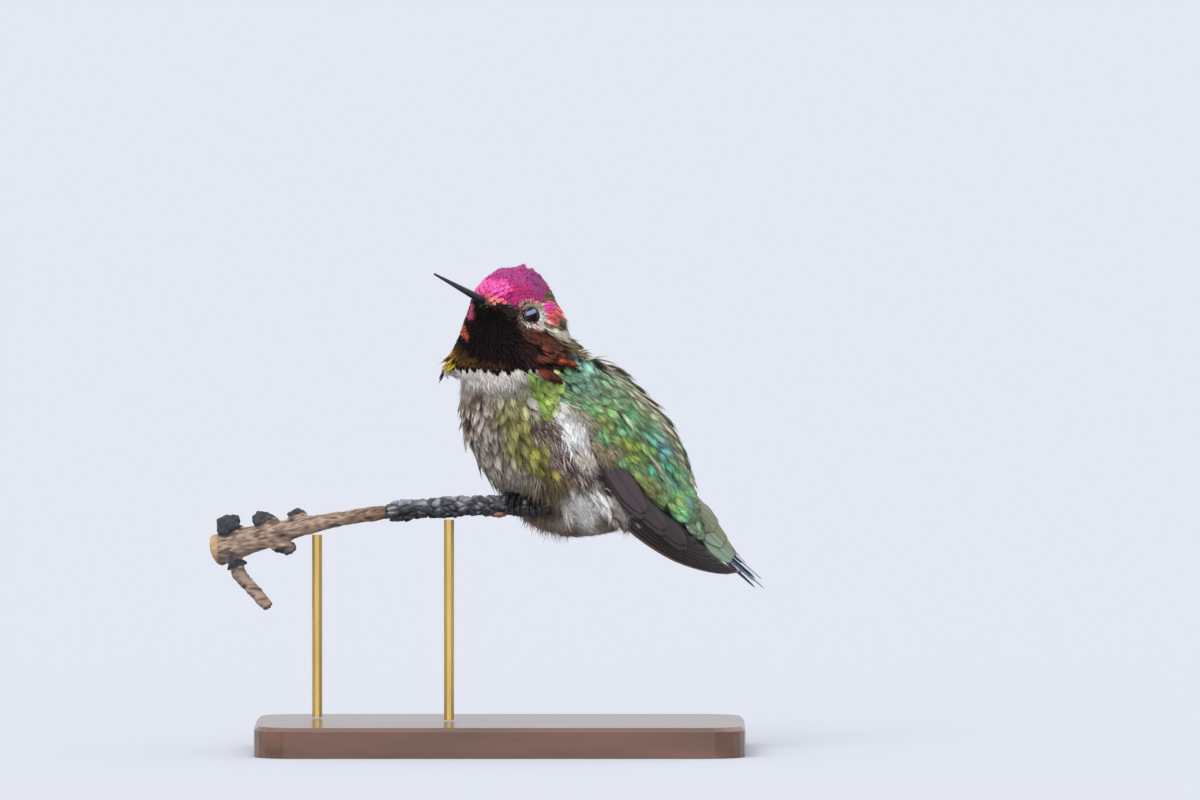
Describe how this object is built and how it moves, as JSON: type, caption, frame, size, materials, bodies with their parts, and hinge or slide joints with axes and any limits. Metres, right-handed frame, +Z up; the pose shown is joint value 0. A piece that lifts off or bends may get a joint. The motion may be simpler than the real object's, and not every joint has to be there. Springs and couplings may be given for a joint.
{
  "type": "hummingbird",
  "caption": "Still life-size model of a male Anna's hummingbird, fluffed up with its head turned, on a cut branch held by a plain display stand.",
  "frame": {"origin": "middle of the underside of the stand's base, where it meets the floor", "axes": "+Z up; +X along the branch and the bird's body, from the cut end of the branch towards the tail; -Y is the side that the picture shows, the bird's left"},
  "size_m": [0.1091, 0.056, 0.0952],
  "materials": {
    "throat": "iridescent throat feathers, near black with red and gold edges",
    "crown": "iridescent rose-red crown feathers",
    "breast": "soft grey and olive body feathers",
    "back": "iridescent green and teal feathers",
    "flight": "dusky brown flight feathers",
    "tail": "blue-black and green tail feathers",
    "bill": "smooth black horn",
    "eye": "wet, near-black",
    "foot": "fine black scales",
    "wood": "weathered bare twig",
    "char": "burnt, cracked bark",
    "stand_wood": "dark satin hardwood",
    "stand_metal": "satin brass rod"
  },
  "bodies": {
    "root": {"bill_lower": "bill", "bill_upper": "bill", "claw_left_hind": "foot", "claw_left_inner": "foot", "claw_left_middle": "foot", "claw_left_outer": "foot", "claw_right_hind": "foot", "claw_right_inner": "foot", "claw_right_middle": "foot", "claw_right_outer": "foot", "eye_left": "eye", "eye_right": "eye", "head": "crown", "leg_left": "foot", "leg_right": "foot", "neck": "breast", "perch_char": "char", "perch_wood": "wood", "rump": "back", "stand_base": "stand_wood", "stand_rod_left": "stand_metal", "stand_rod_right": "stand_metal", "tail_inner_left": "tail", "tail_inner_right": "tail", "tail_middle": "tail", "tail_outer_left": "tail", "tail_outer_right": "tail", "throat": "throat", "toe_left_hind": "foot", "toe_left_inner": "foot", "toe_left_middle": "foot", "toe_left_outer": "foot", "toe_right_hind": "foot", "toe_right_inner": "foot", "toe_right_middle": "foot", "toe_right_outer": "foot", "trunk": "breast", "wing_left_coverts": "back", "wing_left_primaries_inner": "flight", "wing_left_primaries_outer": "flight", "wing_left_secondaries": "flight", "wing_right_coverts": "back", "wing_right_primaries_inner": "flight", "wing_right_primaries_outer": "flight", "wing_right_secondaries": "flight"}
  },
  "joints": []
}
